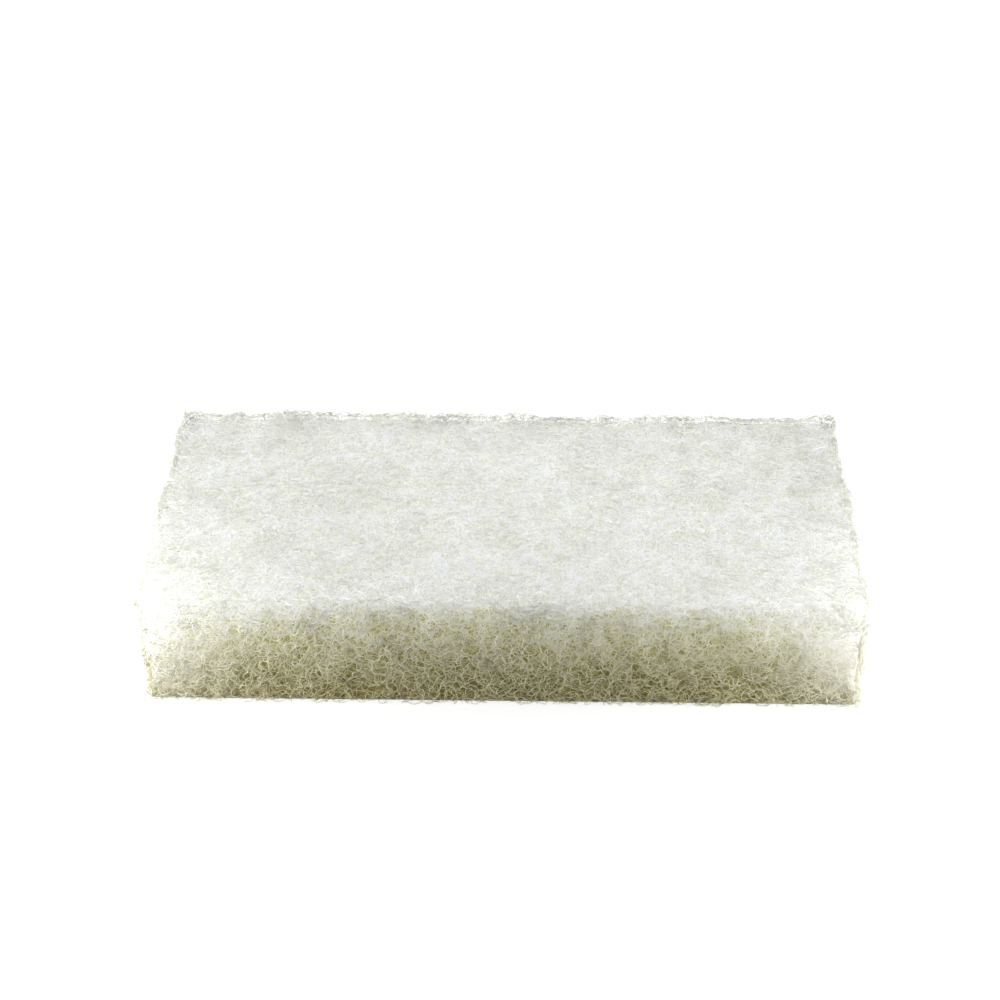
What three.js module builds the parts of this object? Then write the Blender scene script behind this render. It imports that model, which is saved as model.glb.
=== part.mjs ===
// A thick hand scouring pad: one die-cut block of lofty non-woven fibre web, lying on one of its broad faces.
// Millimetres. +X runs along the pad, +Y across it and +Z up. The origin is at the centre of the underside.
// The web is one piece all through, so the pad is one solid. Its faces are covered in tufts of curled fibre
// with small hollows between them, and its cut edges are soft. The underside is pressed flat.

import * as THREE from "three";
import { mergeVertices } from "three/addons/utils/BufferGeometryUtils.js";

// Driving sizes
const padLength = 150;
const padWidth = 70;
const padThickness = 28;
const edgeRadius = 1.5; // how softly the cut edges and corners turn
const tuftPitch = 5; // from one tuft to the next
const hollowDepth = 0.9; // how far the deepest hollow between tufts lies below the face
const skinStep = 2.25; // spacing of the points that carry the skin's relief

const edgeSteps = 2; // flats across half of each rounded edge
const edgeTurn = Math.PI / 4; // half of the right angle that a rounded edge turns through
const pressedHeight = 4; // hollows grow from nothing at the underside to full depth at this height
const lumpPitch = 30; // from one broad swell of the web to the next
const tuftTurn = new THREE.Quaternion().setFromEuler(new THREE.Euler(0.7, 0.5, 0.9)); // tufts lie askew to the faces

// Grid positions along one axis, from one face of the block to the other: close together over each rounded
// edge, so that it is cut into equal turns, and evenly spread between the edges.
function gridPositions(size) {
  const flatHalf = size / 2 - edgeRadius;
  const flatSteps = Math.max(2, Math.round((2 * flatHalf) / skinStep));
  const positions = [];
  for (let i = edgeSteps; i > 0; i--) {
    positions.push(-flatHalf - edgeRadius * Math.tan((edgeTurn * i) / edgeSteps));
  }
  for (let i = 0; i <= flatSteps; i++) {
    positions.push(-flatHalf + (2 * flatHalf * i) / flatSteps);
  }
  for (let i = 1; i <= edgeSteps; i++) {
    positions.push(flatHalf + edgeRadius * Math.tan((edgeTurn * i) / edgeSteps));
  }
  return positions;
}

// A repeatable value from 0 to 1 for each point of a whole-number lattice.
function latticeValue(i, j, k) {
  const wave = Math.sin(i * 127.1 + j * 311.7 + k * 74.7) * 43758.5453;
  return wave - Math.floor(wave);
}

// Smooth noise from 0 to 1 whose hills are one unit apart: the eight lattice values around a point, eased.
function smoothNoise(x, y, z) {
  const cell = [x, y, z].map(Math.floor);
  const ease = [x - cell[0], y - cell[1], z - cell[2]].map((t) => t * t * (3 - 2 * t));
  let sum = 0;
  for (let corner = 0; corner < 8; corner++) {
    const step = [corner & 1, (corner >> 1) & 1, (corner >> 2) & 1];
    const share = step.reduce((product, s, axis) => product * (s ? ease[axis] : 1 - ease[axis]), 1);
    sum += share * latticeValue(cell[0] + step[0], cell[1] + step[1], cell[2] + step[2]);
  }
  return sum;
}

// Depth of the hollow at a point of the skin: tufts stand at the block's own face, and hollows lie between.
function hollowAt(point) {
  const askew = point.clone().applyQuaternion(tuftTurn);
  const tuft = smoothNoise(askew.x / tuftPitch, askew.y / tuftPitch, askew.z / tuftPitch);
  const lump = smoothNoise(askew.x / lumpPitch, askew.y / lumpPitch, askew.z / lumpPitch);
  const share = THREE.MathUtils.smoothstep(0.8 * tuft + 0.2 * lump, 0.3, 0.85);
  const above = THREE.MathUtils.smoothstep(point.z, 0, pressedHeight);
  return hollowDepth * share * above;
}

// Moves a point of the block's sharp-edged grid onto the soft, tufted skin.
function ontoSkin(point) {
  const flatHalf = new THREE.Vector3(padLength, padWidth, padThickness).multiplyScalar(0.5).subScalar(edgeRadius);
  const core = point.clone().clamp(flatHalf.clone().negate(), flatHalf);
  const outward = point.clone().sub(core).normalize();
  const skin = core.addScaledVector(outward, edgeRadius);
  skin.z += padThickness / 2;
  return skin.addScaledVector(outward, -hollowAt(skin));
}

// The underside as one flat face: the grid's triangles there give way to a cap inside their outline.
function capUnderside(geometry) {
  const position = geometry.getAttribute("position");
  const index = Array.from(geometry.index.array);
  const lies = (v) => position.getZ(v) < 1e-6;
  const kept = [];
  const nextOnRim = new Map();
  for (let i = 0; i < index.length; i += 3) {
    const triangle = index.slice(i, i + 3);
    if (triangle.every(lies)) continue;
    kept.push(...triangle);
    for (let side = 0; side < 3; side++) {
      const [a, b] = [triangle[side], triangle[(side + 1) % 3]];
      if (lies(a) && lies(b)) nextOnRim.set(b, a);
    }
  }
  const rim = [nextOnRim.keys().next().value];
  while (nextOnRim.get(rim.at(-1)) !== rim[0]) rim.push(nextOnRim.get(rim.at(-1)));
  const outline = rim.map((v) => new THREE.Vector2(position.getX(v), position.getY(v)));
  for (const face of THREE.ShapeUtils.triangulateShape(outline, [])) {
    kept.push(...face.reverse().map((corner) => rim[corner])); // turned round, to face down
  }
  geometry.setIndex(kept);
  return geometry;
}

// The whole block: a box's grid, one face after another, laid over the rounded and tufted form.
function padBlock() {
  const [alongX, alongY, alongZ] = [padLength, padWidth, padThickness].map(gridPositions);
  const steps = [alongX, alongY, alongZ].map((positions) => positions.length - 1);
  const box = new THREE.BoxGeometry(...steps, ...steps);
  const position = box.getAttribute("position");
  for (let v = 0; v < position.count; v++) {
    const column = Math.round(position.getX(v) + steps[0] / 2);
    const row = Math.round(position.getY(v) + steps[1] / 2);
    const layer = Math.round(position.getZ(v) + steps[2] / 2);
    const skin = ontoSkin(new THREE.Vector3(alongX[column], alongY[row], alongZ[layer]));
    position.setXYZ(v, skin.x, skin.y, skin.z);
  }
  box.deleteAttribute("normal");
  box.deleteAttribute("uv");
  const pad = capUnderside(mergeVertices(box, 1e-4));
  pad.computeVertexNormals();
  return pad;
}

const whiteWeb = new THREE.MeshStandardMaterial({ color: 0xe9eae2, roughness: 0.95, metalness: 0 });

const scouringPad = new THREE.Mesh(padBlock(), whiteWeb);
scouringPad.name = "scouring_pad";

const part = new THREE.Group();
part.add(scouringPad);

export default part;
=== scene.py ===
# A thick white hand scouring pad of lofty non-woven web, dressed over its one solid, with floor, lights and
# camera. Metres. +X runs along the pad, +Y across it and +Z up, from the centre of the underside.
import math

import bpy
import numpy as np
from mathutils import Matrix, Vector


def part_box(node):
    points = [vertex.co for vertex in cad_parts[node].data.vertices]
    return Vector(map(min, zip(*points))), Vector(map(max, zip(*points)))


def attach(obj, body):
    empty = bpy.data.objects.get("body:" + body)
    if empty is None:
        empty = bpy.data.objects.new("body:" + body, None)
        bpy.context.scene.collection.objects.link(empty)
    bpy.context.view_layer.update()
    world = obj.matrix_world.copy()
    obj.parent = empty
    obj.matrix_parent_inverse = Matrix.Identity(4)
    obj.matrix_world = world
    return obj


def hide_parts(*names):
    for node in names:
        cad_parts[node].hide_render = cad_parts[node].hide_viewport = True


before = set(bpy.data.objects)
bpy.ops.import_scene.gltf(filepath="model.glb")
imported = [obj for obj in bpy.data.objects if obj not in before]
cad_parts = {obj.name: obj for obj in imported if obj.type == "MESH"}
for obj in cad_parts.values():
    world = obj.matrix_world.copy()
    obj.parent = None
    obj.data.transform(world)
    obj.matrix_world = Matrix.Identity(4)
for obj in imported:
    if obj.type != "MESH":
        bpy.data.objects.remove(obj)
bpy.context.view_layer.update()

padLow, padHigh = (np.array(corner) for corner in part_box("scouring_pad"))
padSize = padHigh - padLow
padMiddle = (padLow + padHigh) / 2
mm = 0.001
white = (1, 1, 1, 1)


# Camera: where the photograph was taken from, worked out from the pad's corners in it.
view = {
    "place": (10.3 * mm, -356.6 * mm, 287.6 * mm),
    "down": 36.05,  # degrees below level
    "turn": -1.79,  # degrees to the right of straight ahead, which is along +Y
    "roll": -0.58,  # degrees that the camera's right side is raised
    "sensor": 36,
    "lens": 73.81,
    "reach": (0.01, 20),  # nearest and farthest that it sees
}


# The lens looks along forward; right and up are turned about it by the roll.
def placeCamera():
    down, turn, roll = (math.radians(view[key]) for key in ("down", "turn", "roll"))
    forward = Vector((math.sin(turn) * math.cos(down), math.cos(turn) * math.cos(down), -math.sin(down)))
    right = Vector((math.cos(turn), -math.sin(turn), 0))
    up = right.cross(forward)
    rolledRight = right * math.cos(roll) + up * math.sin(roll)
    rolledUp = up * math.cos(roll) - right * math.sin(roll)
    lens = bpy.data.cameras.new("photo_view")
    lens.sensor_width = view["sensor"]
    lens.lens = view["lens"]
    lens.clip_start, lens.clip_end = view["reach"]
    camera = bpy.data.objects.new("photo_view", lens)
    columns = Matrix((rolledRight, rolledUp, -forward)).transposed().to_4x4()
    camera.matrix_world = Matrix.Translation(view["place"]) @ columns
    bpy.context.collection.objects.link(camera)
    bpy.context.scene.camera = camera


placeCamera()
print("camera placed")


# Form of the web: a block with soft edges whose faces are covered in tufts, with hollows between them.
web = {
    "edgeRadius": 1.5 * mm,
    "tuftPitch": 5 * mm,
    "tuftShare": 0.8,  # of the relief that comes from the tufts, and from the broad lumps
    "lumpPitch": 30 * mm,
    "lumpShare": 0.2,
    "tuftTurn": (0.7, 0.5, 0.9),  # radians about X, Y and Z: tufts lie askew to the faces
    "hollowDepth": 0.9 * mm,
    "hollowNoise": (0.3, 0.85),  # noise at which a hollow starts, and at which it is deepest
    "pressedHeight": 4 * mm,  # hollows grow to full depth at this height over the underside
}

# How the web looks: closed and white on the broad faces, open on the cut ones, with painted shade that
# darkens the cut faces toward the foot and lightens them near the top face and the ends, where light comes
# in.
look = {
    "cutLean": (0.1, 0.9),  # the skin's lean from level at which it starts to look cut, and looks fully so
    "pressedLean": 0.04,  # how near to facing straight down it looks closed again
    "closedDepth": 8 * mm,  # below the top face, the cut faces look ever more open and take ever darker painted shade down to here
    "raggedPitch": 5 * mm,  # that change is ragged: from one tongue to the next, and how far they reach
    "raggedReach": 6 * mm,
    "raggedShift": 5.3,
    "footShadeReach": 1.1,  # thicknesses of the pad below the top face at which the painted foot shade is at its full depth
    "endDepth": 32 * mm,  # toward the ends light comes in from three sides, painted as cut faces that look less open, with paler painted shade, by this share and with less painted foot shade by this share
    "endShare": 0.85,  # less open by this share
    "endFootShadeShare": 0.35,  # and less tinted by this share
}


# Eased step from 0 to 1 as value goes from low to high.
def softStep(value, low, high):
    t = np.clip((value - low) / (high - low), 0, 1)
    return t * t * (3 - 2 * t)


# Value from 0 to 1 of each point of a whole-number lattice.
def latticeValue(cell):
    wave = np.sin(cell @ np.array([127.1, 311.7, 74.7])) * 43758.5453
    return wave - np.floor(wave)


# Smooth noise whose hills are one unit apart: the eight lattice values around each point, eased.
def smoothNoise(points):
    cell = np.floor(points)
    ease = points - cell
    ease = ease * ease * (3 - 2 * ease)
    total = np.zeros(len(points))
    for corner in range(8):
        step = np.array([corner & 1, (corner >> 1) & 1, (corner >> 2) & 1])
        share = np.where(step == 1, ease, 1 - ease).prod(axis=1)
        total += share * latticeValue(cell + step)
    return total


# Depth of the hollow at each point of the skin: none on a tuft, the full depth between tufts.
def hollowAt(skin):
    turn = Matrix.Identity(3)
    for angle, axis in zip(web["tuftTurn"], "XYZ"):
        turn = turn @ Matrix.Rotation(angle, 3, axis)
    askew = skin @ np.array(turn).T
    tufts = web["tuftShare"] * smoothNoise(askew / web["tuftPitch"])
    lumps = web["lumpShare"] * smoothNoise(askew / web["lumpPitch"])
    above = softStep(skin[:, 2], 0, web["pressedHeight"])
    return web["hollowDepth"] * softStep(tufts + lumps, *web["hollowNoise"]) * above


# Skin under each point of the sharp-edged block, and the way out of the skin there. The nearest point of
# the inner block, one radius in from the faces, is pushed back out by that radius, less the hollow.
def ontoSkin(points, radius):
    centred = points - padMiddle
    inner = np.clip(centred, radius - padSize / 2, padSize / 2 - radius)
    outward = centred - inner
    outward /= np.linalg.norm(outward, axis=1, keepdims=True)
    skin = inner + outward * radius + padMiddle
    return skin - outward * hollowAt(skin)[:, None], outward


# How open the web looks at each point, with the painted shade that goes with it, and how low it lies on a
# cut face, for the painted shade at the foot. Both are 0 on the broad faces and less toward the ends,
# painted paler.
# Openness rises to 1 from a ragged start near the top face, painted paler there, and the foot shade from
# there down to the foot.
def opennessShadeAndFootShade(skin, outward):
    up = outward[:, 2]
    cut = softStep(1 - up, *look["cutLean"]) * softStep(1 + up, 0, look["pressedLean"])
    nearEnd = 1 - softStep(padHigh[0] - np.abs(skin[:, 0]), 0, look["endDepth"])
    ragged = (smoothNoise(skin / look["raggedPitch"] + look["raggedShift"]) - 0.5) * look["raggedReach"]
    below = padHigh[2] - skin[:, 2]
    opennessAndShade = cut * (1 - look["endShare"] * nearEnd) * softStep(below + ragged, 0, look["closedDepth"])
    lower = softStep(below / padSize[2], 0, look["footShadeReach"])
    footShade = cut * (1 - look["endFootShadeShare"] * nearEnd) * lower
    return opennessAndShade, footShade


# Mesh piece from its points and faces: corners names the points of one face after another, and sides says
# how many of them each face has.
def makePiece(name, points, corners, sides, finish):
    mesh = bpy.data.meshes.new(name)
    mesh.vertices.add(len(points))
    mesh.vertices.foreach_set("co", points.astype(np.float32).ravel())
    mesh.loops.add(len(corners))
    mesh.loops.foreach_set("vertex_index", corners.astype(np.int32))
    mesh.polygons.add(len(sides))
    mesh.polygons.foreach_set("loop_start", (np.cumsum(sides) - sides).astype(np.int32))
    mesh.update(calc_edges=True)
    mesh.shade_smooth()
    mesh.materials.append(finish)
    piece = bpy.data.objects.new(name, mesh)
    bpy.context.collection.objects.link(piece)
    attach(piece, "root")
    return piece


# One number for each point of a piece, for its material to read.
def addMark(piece, name, values):
    mark = piece.data.attributes.new(name, "FLOAT", "POINT")
    mark.data.foreach_set("value", values.astype(np.float32))


# A flat map of a piece's surface, to bake its finish onto: one place for each corner of its faces.
def addBakeMap(piece, places):
    flatMap = piece.data.uv_layers.new(name="OFBake")
    flatMap.uv.foreach_set("vector", places.astype(np.float32).ravel())


# Node trees written as sums: one output of a node, on which Python's operators add Math nodes.
class Wire:
    def __init__(self, shader, socket):
        self.shader = shader
        self.socket = socket

    def maths(self, operation, *values):
        return self.shader.node("ShaderNodeMath", {"operation": operation}, dict(enumerate(values)))

    def __add__(self, other):
        return self.maths("ADD", self, other)

    def __radd__(self, other):
        return self.maths("ADD", other, self)

    def __sub__(self, other):
        return self.maths("SUBTRACT", self, other)

    def __rsub__(self, other):
        return self.maths("SUBTRACT", other, self)

    def __mul__(self, other):
        return self.maths("MULTIPLY", self, other)

    def __rmul__(self, other):
        return self.maths("MULTIPLY", other, self)


# A node tree of a material or of the world, with one method that makes any node.
class Shader:
    def __init__(self, owner):
        owner.use_nodes = True
        self.tree = owner.node_tree
        self.tree.nodes.clear()

    # Settings go on first, then the values or links of the sockets. Gives the output that is asked for.
    def node(self, kind, settings=None, sockets=None, output=0):
        made = self.tree.nodes.new(kind)
        for name, value in (settings or {}).items():
            setattr(made, name, value)
        for name, value in (sockets or {}).items():
            if isinstance(value, Wire):
                self.tree.links.new(value.socket, made.inputs[name])
            else:
                made.inputs[name].default_value = value
        return Wire(self, made.outputs[output]) if made.outputs else made

    def vector(self, operation, a, b=None, scale=None, output=0):
        sockets = {0: a}
        if b is not None:
            sockets[1] = b
        if scale is not None:
            sockets["Scale"] = scale
        return self.node("ShaderNodeVectorMath", {"operation": operation}, sockets, output)

    # Colour that goes from a to b, or from a to another mixture of the two, as share goes from 0 to 1.
    def blend(self, share, a, b, way="MIX"):
        settings = {"data_type": "RGBA", "blend_type": way}
        return self.node("ShaderNodeMix", settings, {0: share, 6: a, 7: b}, output=2)

    # Surface that goes from one shader to another as share goes from 0 to 1.
    def mix(self, share, first, second):
        return self.node("ShaderNodeMixShader", {}, {0: share, 1: first, 2: second})

    # Eased step from 0 to 1 as a value goes from start to end.
    def softStep(self, value, start, end):
        sockets = {"Value": value, "From Min": start, "From Max": end}
        return self.node("ShaderNodeMapRange", {"interpolation_type": "SMOOTHSTEP"}, sockets)

    def mark(self, name):
        return self.node("ShaderNodeAttribute", {"attribute_name": name}, output="Fac")

    # The piece's own coordinates, in millimetres.
    def millimetres(self):
        own = self.node("ShaderNodeTexCoord", output="Object")
        return self.vector("SCALE", own, scale=1000.0)

    def noise(self, place, pitch, detail=2.0, output=0):
        sockets = {"Vector": place, "Scale": 1 / pitch, "Detail": detail}
        return self.node("ShaderNodeTexNoise", {}, sockets, output)

    # How far each point lies from the walls between the cells of a net, in shares of a cell.
    def netDistance(self, place, pitch):
        settings = {"feature": "DISTANCE_TO_EDGE"}
        return self.node("ShaderNodeTexVoronoi", settings, {"Vector": place, "Scale": 1 / pitch})


# Body of the web: what shows between the fibres of its skin. The pitches of its nets are in millimetres.
body = {
    "pointStep": 0.85 * mm,
    "weldGap": 0.01 * mm,
    "edgeRadius": 2.1 * mm,  # rounder than the web's own, because only strands lie at its edges
    "footHeight": 8 * mm,  # below this height it narrows to the web's own radius at the foot
    "depthUnderSkin": 1.05 * mm,
    "fineTuftPitch": 1.9 * mm,
    "fineTuftDepth": 0.9 * mm,
    "fineTuftShift": 17.3,
    "roomShare": 0.95,  # of the radius, past which the rounded edges would turn inside out
    "pressedLean": (0.85, 1),  # as the skin turns from here to face straight down
    "pressedShare": 0.8,  # the body comes up to it by this share of its depth
    "mapGap": 4 * mm,  # between the faces on the flat map
    "broadPitShade": (0.67, 0.67, 0.54, 1),  # painted shade in the depths of the closed broad faces
    "cutPitShade": (0.39, 0.375, 0.16, 1),  # darker painted shade in the depths of the open cut faces
    "broadFibre": (0.95, 0.955, 0.905, 1),
    "cutFibre": (0.88, 0.87, 0.7, 1),
    "footShadeColour": (0.49, 0.41, 0.13, 1),  # painted shade: colours are multiplied by this at the foot of the cut faces
    "plainShare": 0.65,  # at the foot, this share of the surface lets no light in
    "lightReach": (0.12, 0.116, 0.085),  # how far red, green and blue light spreads inside, in metres
    "swayPitch": 1.6,  # the nets are bent by a noise of this pitch
    "swayReach": 2.2,  # by this much from side to side
    "coarsePitch": 2.1,  # from gap to gap of the coarse net of fibre
    "coarseWall": (0.16, 0.02),  # from the side of a fibre to its middle, in shares of a cell
    "finePitch": 0.9,
    "fineWall": (0.2, 0.03),
    "fineShift": (7.3, 3.1, 5.7),
    "fineShare": 0.7,  # how much the fine net shows beside the coarse one
    "cloudPitch": 6.0,  # the nets show more in some places than in others
    "netShow": 0.6,  # at least this much
    "cloudShow": 0.6,  # and at most this much more
    "gapShow": 0.42,  # how pale a gap's painted shade is near the skin and how much darker that painted shade is at the bottom of a fine hollow
    "hollowShade": 0.75,  # and how much darker at the bottom of a fine hollow
    "bump": 0.5,
    "bumpDepth": 0.3 * mm,
}


# Colour: two nets of blurred fibres over olive gaps of painted shade, each net bent by noise. The painted
# shade in the gaps is darker on the cut faces. Light spreads far inside the web, but less of it at the
# foot, which is painted darker and olive as shade.
def bodyFinish():
    material = bpy.data.materials.new("open_web")
    shader = Shader(material)
    place = shader.millimetres()
    sway = shader.noise(place, body["swayPitch"], output=1)
    sway = shader.vector("SUBTRACT", sway, (0.5, 0.5, 0.5))
    bent = shader.vector("ADD", place, shader.vector("SCALE", sway, scale=body["swayReach"]))
    coarse = shader.softStep(shader.netDistance(bent, body["coarsePitch"]), *body["coarseWall"])
    shifted = shader.vector("ADD", bent, body["fineShift"])
    fine = shader.softStep(shader.netDistance(shifted, body["finePitch"]), *body["fineWall"])
    cloud = shader.noise(place, body["cloudPitch"])
    nets = coarse.maths("MAXIMUM", coarse, fine * body["fineShare"])
    share = nets * (body["netShow"] + body["cloudShow"] * cloud) + body["gapShow"]
    # Painted shade: darker at the bottom of each fine hollow.
    share = share - body["hollowShade"] * shader.mark("sunk")
    share = shader.node("ShaderNodeClamp", {}, {"Value": share})
    opennessAndShade = shader.mark("opennessAndShade")
    # On the cut faces the pits and fibres are painted darker and more olive: the open web is real, the
    # darker colour is painted shade.
    pitShade = shader.blend(opennessAndShade, body["broadPitShade"], body["cutPitShade"])
    strand = shader.blend(opennessAndShade, body["broadFibre"], body["cutFibre"])
    colour = shader.blend(share, pitShade, strand)
    # Painted shade: darker and more olive toward the foot of the cut faces, less so toward the ends.
    colour = shader.blend(shader.mark("footShade"), colour, body["footShadeColour"], "MULTIPLY")
    height = {"Strength": body["bump"], "Distance": body["bumpDepth"], "Height": nets}
    bump = shader.node("ShaderNodeBump", {}, height)
    surface = shader.node(
        "ShaderNodeBsdfPrincipled",
        {"subsurface_method": "RANDOM_WALK"},
        {
            "Base Color": colour,
            "Roughness": 0.8,
            "Specular IOR Level": 0.2,
            "Subsurface Weight": 1.0,
            "Subsurface Radius": body["lightReach"],
            "Subsurface Scale": 1.0,
            "Normal": bump,
        },
    )
    plain = shader.node("ShaderNodeBsdfDiffuse", {}, {"Color": colour, "Normal": bump})
    mixed = shader.mix(body["plainShare"] * shader.mark("foot"), surface, plain)
    shader.node("ShaderNodeOutputMaterial", {}, {"Surface": mixed})
    return material


# Grid positions along one axis of the block: evenly spread between its edges, and in equal turns over each.
def gridPositions(half, radius, step):
    flat = half - radius
    turnSteps = max(2, round(radius * math.pi / 4 / step))
    turn = radius * np.tan(np.linspace(0, math.pi / 4, turnSteps + 1)[1:])
    between = np.linspace(-flat, flat, max(2, round(2 * flat / step)) + 1)
    return np.concatenate([-flat - turn[::-1], between, flat + turn])


# The six faces of the sharp-edged block as grids of two parameters, about its middle: their points, their
# quads, and the place of each point on a flat map that lays the faces side by side.
def blockFaces():
    grids = [gridPositions(half, body["edgeRadius"], body["pointStep"]) for half in padSize / 2]
    length, width, thickness = padSize
    gap = body["mapGap"]
    mapCorners = {
        (2, -1): (0, 0),
        (2, 1): (0, width + gap),
        (0, -1): (0, 2 * (width + gap)),
        (0, 1): (width + gap, 2 * (width + gap)),
        (1, -1): (length + gap, 0),
        (1, 1): (length + thickness + 2 * gap, 0),
    }
    mapSize = length + 2 * (thickness + gap)
    points, quads, places = [], [], []
    count = 0
    for axis in range(3):
        across, along = (axis + 1) % 3, (axis + 2) % 3
        for side in (-1, 1):
            u, v = np.meshgrid(grids[across], grids[along], indexing="ij")
            flat = np.empty((u.size, 3))
            flat[:, across] = u.ravel()
            flat[:, along] = v.ravel()
            flat[:, axis] = side * padSize[axis] / 2
            number = count + np.arange(u.size).reshape(u.shape)
            ring = [number[:-1, :-1], number[1:, :-1], number[1:, 1:], number[:-1, 1:]]
            quads.append(np.stack(ring[::side], axis=-1).reshape(-1, 4))
            points.append(flat)
            place = flat[:, [across, along]] + padSize[[across, along]] / 2 + mapCorners[axis, side]
            places.append(place / mapSize)
            count += u.size
    return np.concatenate(points), np.concatenate(quads), np.concatenate(places)


# The faces are welded along the block's edges and laid over the soft form, then sunk under its skin.
def bodyPiece():
    points, quads, places = blockFaces()
    places = places[quads]
    cells = np.round(points / body["weldGap"]).astype(int)
    _, first, same = np.unique(cells, axis=0, return_index=True, return_inverse=True)
    points = points[first]
    quads = same.ravel()[quads]
    rounder = softStep(points[:, 2] + padSize[2] / 2, 0, body["footHeight"])
    radius = web["edgeRadius"] + (body["edgeRadius"] - web["edgeRadius"]) * rounder[:, None]
    skin, outward = ontoSkin(points + padMiddle, radius)
    opennessAndShade, footShade = opennessShadeAndFootShade(skin, outward)
    fineTuft = smoothNoise(skin / body["fineTuftPitch"] + body["fineTuftShift"])
    room = body["roomShare"] * radius[:, 0] - hollowAt(skin)
    depth = np.minimum(body["depthUnderSkin"] + body["fineTuftDepth"] * fineTuft, room)
    depth *= 1 - body["pressedShare"] * softStep(-outward[:, 2], *body["pressedLean"])
    skin -= outward * depth[:, None]
    sides = np.full(len(quads), 4)
    piece = makePiece("web_body", skin, quads.ravel(), sides, bodyFinish())
    addBakeMap(piece, places)
    addMark(piece, "opennessAndShade", opennessAndShade)
    addMark(piece, "footShade", footShade)
    addMark(piece, "sunk", fineTuft)
    addMark(piece, "foot", 1 - softStep(skin[:, 2], 0, body["footHeight"]))
    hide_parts("scouring_pad")


bodyPiece()
print("body of the web made")


# Fibres of the skin: crimped strands that wander over each face, weaving up and down in the top millimetre.
# Each spread is the least and the most share of a value that a strand may draw.
fibre = {
    "radius": 0.072 * mm,
    "tipShare": 0.6,  # of that radius, at the two ends of a strand
    "step": 0.7 * mm,  # between points of a strand
    "crimpLength": 4.4 * mm,  # from one crimp to the next
    "crimpSpread": (0.7, 1.4),
    "crimpSwing": 0.9,  # radians that a strand swings each way in a crimp
    "swingSpread": (0.6, 1.3),
    "curl": 0.36,  # most radians of steady curl for each millimetre
    "weaveLength": 4 * mm,
    "weaveSpread": (0.7, 1.5),
    "weaveDepth": 0.3 * mm,
    "shallowest": -0.15 * mm,
    "deepest": 1.0 * mm,
    "seed": 20,
    "white": (0.97, 0.975, 0.97, 1),
    "dull": (0.62, 0.63, 0.54, 1),  # some strands lean to this
    "dullShare": 0.35,  # by this much at most
    "broadDeepShade": (0.9, 0.9, 0.84, 1),  # painted shade of deep strands on the closed broad faces
    "cutDeepShade": (0.83, 0.83, 0.72, 1),  # painted shade of deep strands on the open cut faces
    "deepShadeDepth": (0.1, 1.0),  # shares of the deepest at which that colour starts, and is full
    "patchPitch": 3.0,  # mm, of the noise that moves that depth
    "patchReach": 0.25,  # by this share of the deepest
    # painted shade at the foot of the cut faces
    "footShadeColour": (0.79, 0.73, 0.43, 1),
    "letThrough": 0.4,  # share of the light that passes into and through a strand
    "throughColour": (0.95, 0.95, 0.88, 1),
}

# Faces of the block: the axis that each faces along and its side of the block, then how many pieces its
# strands make, how many strands a piece has, and how many points a strand.
faces = {
    "top": {"axis": 2, "side": 1, "pieces": 2, "strands": 2350, "points": 14},
    "underside": {"axis": 2, "side": -1, "pieces": 1, "strands": 500, "points": 14},
    "front": {"axis": 1, "side": -1, "pieces": 1, "strands": 2420, "points": 12},
    "back": {"axis": 1, "side": 1, "pieces": 1, "strands": 2420, "points": 12},
    "left": {"axis": 0, "side": -1, "pieces": 1, "strands": 1100, "points": 12},
    "right": {"axis": 0, "side": 1, "pieces": 1, "strands": 1100, "points": 12},
}

# Flat map of the strands, in shares of the cell that each strand has on it.
strandMap = {
    "slimness": 22,  # a strand is about this many times as long as it is round
    "capRoom": 0.03,  # kept free at each end for the cap
    "capDepth": 0.02,
    "gap": 0.1,  # kept free at each side of a strip, in shares of the strip
}


# Colour: near white, a little uneven from strand to strand, with painted shade where a strand lies deep and
# toward the foot of the cut faces.
def fibreFinish():
    material = bpy.data.materials.new("crimped_fibre")
    shader = Shader(material)
    place = shader.millimetres()
    depth = shader.mark("depth")
    shade = shader.mark("shade")
    patch = shader.noise(place, fibre["patchPitch"])
    # Painted shade: strands that lie deeper are darker and more olive, more so on the cut faces.
    deepShadeShare = shader.softStep(depth + fibre["patchReach"] * (patch - 0.5), *fibre["deepShadeDepth"])
    deep = shader.blend(shader.mark("opennessAndShade"), fibre["broadDeepShade"], fibre["cutDeepShade"])
    colour = shader.blend(deepShadeShare, fibre["white"], deep)
    colour = shader.blend(fibre["dullShare"] * shade * shade, colour, fibre["dull"])
    # Painted shade: darker and more olive toward the foot of the cut faces.
    colour = shader.blend(shader.mark("footShade"), colour, fibre["footShadeColour"], "MULTIPLY")
    surface = shader.node(
        "ShaderNodeBsdfPrincipled",
        {},
        {"Base Color": colour, "Roughness": 0.38, "Specular IOR Level": 0.5},
    )
    through = shader.node("ShaderNodeBsdfTranslucent", {}, {"Color": fibre["throughColour"]})
    mixed = shader.mix(fibre["letThrough"], surface, through)
    shader.node("ShaderNodeOutputMaterial", {}, {"Surface": mixed})
    return material


# Flat paths that run past an edge of their face are folded down over the next face by as much as they run
# past it. A path that meets the floor turns back up.
def foldOver(points, axis, side):
    half = padSize / 2
    if axis != 2:
        points[..., 2] = np.abs(points[..., 2] + half[2]) - half[2]
    past = np.maximum(np.abs(points) - half, 0)
    past[..., axis] = 0
    points = np.clip(points, -half, half)
    points[..., axis] -= side * past.sum(axis=-1)
    return points


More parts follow.
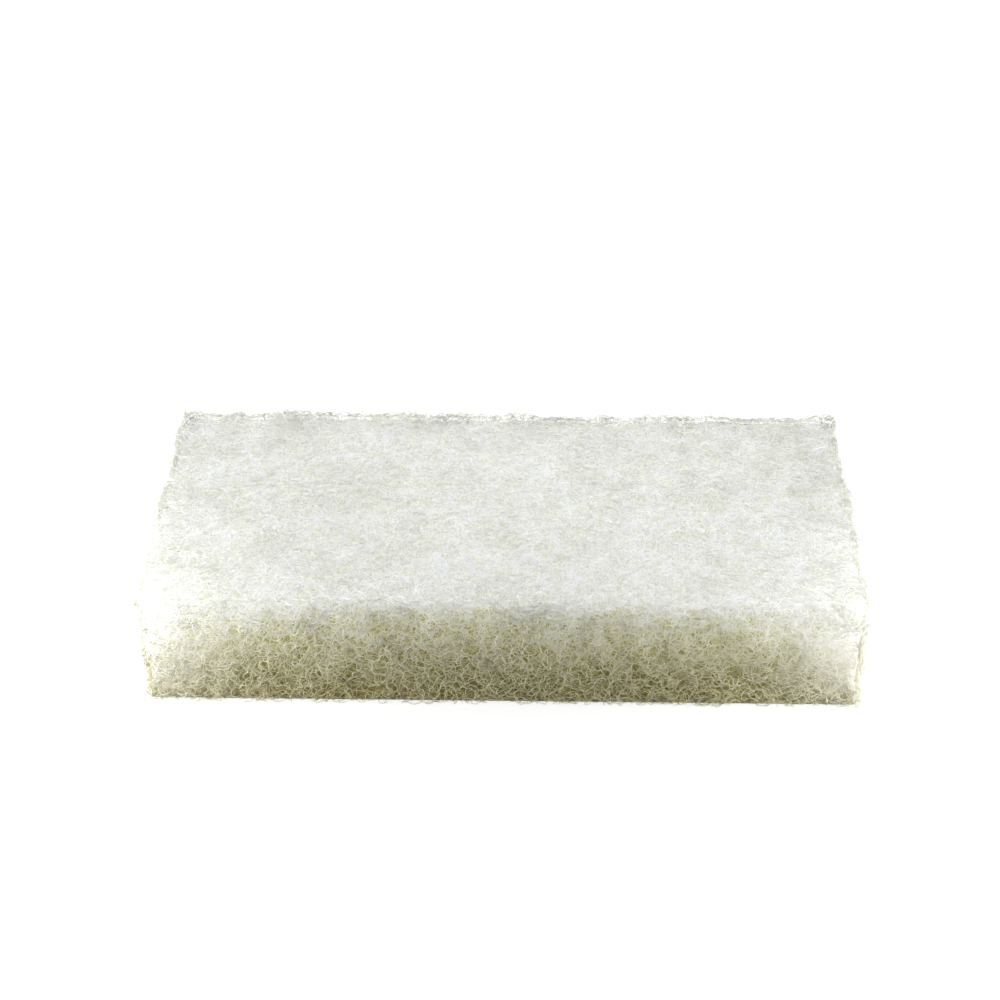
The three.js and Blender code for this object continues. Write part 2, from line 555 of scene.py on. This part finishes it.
# Paths of strands over one face. A strand's heading swings as a sine along it, on top of a steady curl, and
# its depth swings as another sine. The flat path is folded over the edges and laid over the soft form.
def strandPaths(face, dice):
    axis, side = face["axis"], face["side"]
    across, along = (axis + 1) % 3, (axis + 2) % 3
    strands, count = face["strands"], face["points"]
    fullTurn = 2 * math.pi

    def draw(low, high):
        return dice.uniform(low, high, (strands, 1))

    run = (np.arange(count) - (count - 1) / 2) * fibre["step"]
    swing = fibre["crimpSwing"] * draw(*fibre["swingSpread"])
    crimp = fibre["crimpLength"] * draw(*fibre["crimpSpread"])
    heading = draw(0, fullTurn) + draw(-1, 1) * fibre["curl"] * run / mm
    heading = heading + swing * np.sin(fullTurn * run / crimp + draw(0, fullTurn))
    middle = count // 2
    u = np.cumsum(np.cos(heading), axis=1) * fibre["step"]
    v = np.cumsum(np.sin(heading), axis=1) * fibre["step"]
    u += draw(-1, 1) * padSize[across] / 2 - u[:, middle:middle + 1]
    v += draw(-1, 1) * padSize[along] / 2 - v[:, middle:middle + 1]
    weave = fibre["weaveLength"] * draw(*fibre["weaveSpread"])
    depth = draw(fibre["shallowest"], fibre["deepest"])
    depth = depth + fibre["weaveDepth"] * np.sin(fullTurn * run / weave + draw(0, fullTurn))
    points = np.empty((strands, count, 3))
    points[..., across] = u
    points[..., along] = v
    points[..., axis] = side * padSize[axis] / 2
    points = foldOver(points, axis, side)
    skin, outward = ontoSkin(points.reshape(-1, 3) + padMiddle, web["edgeRadius"])
    place = skin - outward * depth.reshape(-1, 1)
    place[:, 2] = np.maximum(place[:, 2], fibre["radius"])
    return place.reshape(points.shape), outward.reshape(points.shape), depth


# Flat map of three-sided tubes: a long cell for each strand, with a strip for each side and a cap at each
# end.
def tubeMap(strands, count):
    capRoom, capDepth, gap = (strandMap[key] for key in ("capRoom", "capDepth", "gap"))
    columns = max(1, round(math.sqrt(strands / strandMap["slimness"])))
    rows = math.ceil(strands / columns)
    cell = np.stack([np.arange(strands) % columns, np.arange(strands) // columns], axis=-1)
    j, k = np.meshgrid(np.arange(count - 1), np.arange(3), indexing="ij")
    along = capRoom + (1 - 2 * capRoom) * np.stack([j, j, j + 1, j + 1], axis=-1) / (count - 1)
    around = (np.stack([k, k + 1, k + 1, k], axis=-1) + gap - 2 * gap * np.array([0, 1, 1, 0])) / 3
    quads = np.stack([along, around], axis=-1)
    firstCap = [[0.0, gap], [capDepth, 0.5], [0.0, 1 - gap]]
    lastCap = [[1.0, gap], [1 - capDepth, 0.5], [1.0, 1 - gap]]
    quads = (quads[None] + cell[:, None, None, None]) / (columns, rows)
    caps = (np.array([firstCap, lastCap])[None] + cell[:, None, None]) / (columns, rows)
    return np.concatenate([quads.reshape(-1, 2), caps.reshape(-1, 2)])


# A three-sided tube along each path, closed at both ends. Its ring is spanned by a line square to the path
# and to the way out of the skin, and by one square to both.
def tubes(paths, outward):
    strands, count, _ = paths.shape
    ahead = np.gradient(paths, axis=1)
    ahead /= np.linalg.norm(ahead, axis=2, keepdims=True)
    sideways = np.cross(ahead, outward)
    sideways /= np.linalg.norm(sideways, axis=2, keepdims=True) + 1e-12
    upright = np.cross(sideways, ahead)
    turn = np.array([0, 2, 4]) * math.pi / 3
    ring = sideways[:, :, None] * np.cos(turn)[:, None] + upright[:, :, None] * np.sin(turn)[:, None]
    taper = np.ones(count)
    taper[[0, -1]] = fibre["tipShare"]
    points = paths[:, :, None] + ring * fibre["radius"] * taper[:, None, None]
    number = np.arange(points.size // 3).reshape(strands, count, 3)
    turned = np.roll(number, -1, axis=2)
    quads = np.stack([number[:, :-1], turned[:, :-1], turned[:, 1:], number[:, 1:]], axis=-1)
    caps = np.stack([number[:, 0, ::-1], number[:, -1]], axis=1)
    corners = np.concatenate([quads.ravel(), caps.ravel()])
    sides = np.concatenate([np.full(quads.size // 4, 4), np.full(caps.size // 3, 3)])
    return points.reshape(-1, 3), corners, sides


def fibrePieces():
    finish = fibreFinish()
    dice = np.random.default_rng(fibre["seed"])
    for name, face in faces.items():
        for number in range(face["pieces"]):
            paths, outward, depth = strandPaths(face, dice)
            points, corners, sides = tubes(paths, outward)
            label = f"{name}_fibres_{number + 1}" if face["pieces"] > 1 else f"{name}_fibres"
            piece = makePiece(label, points, corners, sides, finish)
            addBakeMap(piece, tubeMap(*depth.shape))
            opennessAndShade, footShade = opennessShadeAndFootShade(paths.reshape(-1, 3), outward.reshape(-1, 3))
            addMark(piece, "opennessAndShade", np.repeat(opennessAndShade, 3))
            addMark(piece, "footShade", np.repeat(footShade, 3))
            addMark(piece, "depth", np.repeat(np.clip(depth / fibre["deepest"], 0, 1).ravel(), 3))
            shade = dice.uniform(0, 1, len(paths))
            addMark(piece, "shade", np.repeat(shade, paths.shape[1] * 3))
            print(label, "made,", int((sides - 2).sum()), "triangles")


fibrePieces()


# Studio: a pale floor and surround, a broad light above, one behind, and a small one in front of each end.
studio = {
    "floorSize": 6.0,
    "floorGlow": 1.09,
    "floorColour": (0.95, 0.95, 0.95, 1),
    "floorMatt": 0.3,  # share of the floor that takes light and shade near the pad
    "floorFade": (0.5, 0.1),  # distances from the pad between which that share grows from none to all
    "backdrop": 1.05,  # how bright the surround looks to the camera
    "surround": 0.82,  # how bright it shines on the pad from straight above
    "below": 0.06,  # and from level and below
    "lights": {
        "top": {"place": (0, 0.28, 0.62), "size": (0.7, 0.5), "watts": 5.8},
        "left": {"place": (-0.135, -0.08, 0.03), "size": (0.06, 0.03), "watts": 0.21},
        "right": {"place": (0.135, -0.08, 0.03), "size": (0.06, 0.03), "watts": 0.165},
        "back": {"place": (0, 0.4, 0.1), "size": (0.5, 0.12), "watts": 0.5},
    },
}


# The floor glows, so that it stays pale, and takes the pad's shade close by. It doesn't light the pad.
def layFloor():
    half = studio["floorSize"] / 2
    mesh = bpy.data.meshes.new("floor")
    corners = [(-half, -half, 0), (half, -half, 0), (half, half, 0), (-half, half, 0)]
    mesh.from_pydata(corners, [], [(0, 1, 2, 3)])
    material = bpy.data.materials.new("pale_floor")
    shader = Shader(material)
    glow = shader.node("ShaderNodeEmission", {}, {"Color": white, "Strength": studio["floorGlow"]})
    matt = shader.node("ShaderNodeBsdfDiffuse", {}, {"Color": studio["floorColour"]})
    own = shader.node("ShaderNodeTexCoord", output="Object")
    distance = shader.vector("LENGTH", own, output="Value")
    near = shader.softStep(distance, *studio["floorFade"])
    mixed = shader.mix(near * studio["floorMatt"], glow, matt)
    shader.node("ShaderNodeOutputMaterial", {}, {"Surface": mixed})
    mesh.materials.append(material)
    floor = bpy.data.objects.new("floor", mesh)
    floor.visible_diffuse = False
    floor.visible_glossy = False
    floor.visible_transmission = False
    bpy.context.collection.objects.link(floor)


# The surround lights the pad more from above than from level, and looks evenly white to the camera.
def lightSurround():
    world = bpy.data.worlds.new("surround")
    bpy.context.scene.world = world
    shader = Shader(world)
    way = shader.node("ShaderNodeTexCoord", output="Generated")
    height = shader.node("ShaderNodeSeparateXYZ", {}, {0: way}, output="Z")
    rise = studio["surround"] - studio["below"]
    strength = studio["below"] + rise * shader.softStep(height, 0.0, 1.0)
    shining = shader.node("ShaderNodeBackground", {}, {"Color": white, "Strength": strength})
    seen = shader.node("ShaderNodeBackground", {}, {"Color": white, "Strength": studio["backdrop"]})
    camera = shader.node("ShaderNodeLightPath", output="Is Camera Ray")
    shader.node("ShaderNodeOutputWorld", {}, {"Surface": shader.mix(camera, shining, seen)})


def hangLights():
    for name, light in studio["lights"].items():
        lamp = bpy.data.lights.new(name + "_light", "AREA")
        lamp.shape = "RECTANGLE"
        lamp.size, lamp.size_y = light["size"]
        lamp.energy = light["watts"]
        holder = bpy.data.objects.new(name + "_light", lamp)
        holder.visible_camera = False
        aim = Vector(padMiddle) - Vector(light["place"])
        turned = aim.to_track_quat("-Z", "Y").to_matrix().to_4x4()
        holder.matrix_world = Matrix.Translation(light["place"]) @ turned
        bpy.context.collection.objects.link(holder)


bpy.context.scene.view_settings.view_transform = "Standard"
layFloor()
lightSurround()
hangLights()
print("floor and lights set")
